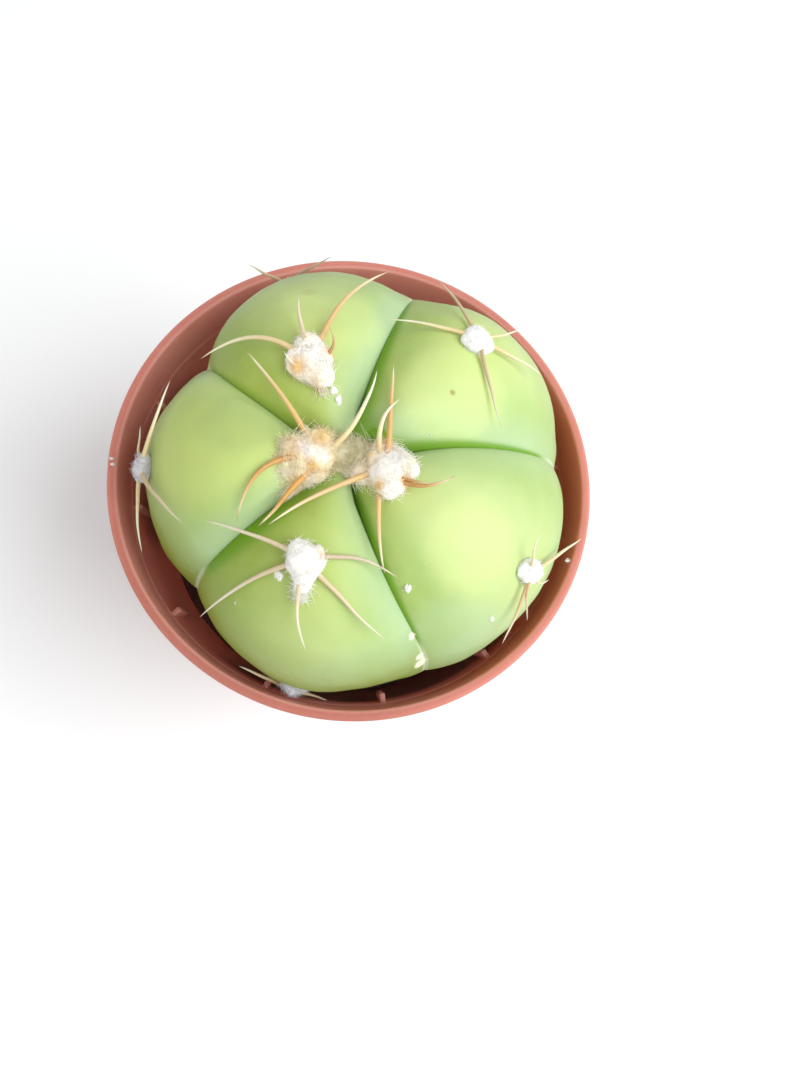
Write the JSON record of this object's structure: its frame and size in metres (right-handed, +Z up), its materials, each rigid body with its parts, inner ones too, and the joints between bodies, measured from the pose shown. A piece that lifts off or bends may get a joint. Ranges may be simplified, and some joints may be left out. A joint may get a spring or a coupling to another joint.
{
  "type": "potted globe cactus",
  "caption": "Squat globe cactus with plump rounded ribs, woolly areoles and curved spines, growing in soil in a small tapered terracotta-coloured nursery pot with a collar.",
  "frame": {"origin": "centre of the pot's foot, on the surface it stands on", "axes": "+Z up along the pot's axis, +X towards the furrow that points to the picture's right, +Y towards the top of the picture"},
  "size_m": [0.055, 0.055, 0.0635],
  "materials": {
    "pot": "moulded terracotta-coloured plastic with a soft sheen",
    "soil": "damp dark peat mix with small chips",
    "skin": "smooth waxy yellow-green skin, darker in the furrows",
    "wool": "felted plant wool, white to cream",
    "spine": "dry horny spines, straw to amber"
  },
  "bodies": {
    "root": {"pot": "pot", "soil": "soil", "cactus_body": "skin", "spines_rib1_upper": "spine", "spines_rib1_lower": "spine", "spines_rib2_upper": "spine", "spines_rib2_lower": "spine", "spines_rib3_upper": "spine", "spines_rib3_lower": "spine", "spines_rib4_upper": "spine", "spines_rib4_lower": "spine", "spines_rib5_upper": "spine", "spines_rib5_lower": "spine", "wool_rib1_upper": "wool", "wool_rib1_lower": "wool", "wool_rib2_upper": "wool", "wool_rib2_lower": "wool", "wool_rib3_lower": "wool", "wool_rib4_upper": "wool", "wool_rib4_lower": "wool", "wool_rib5_lower": "wool", "wool_crown": "wool"}
  },
  "joints": []
}
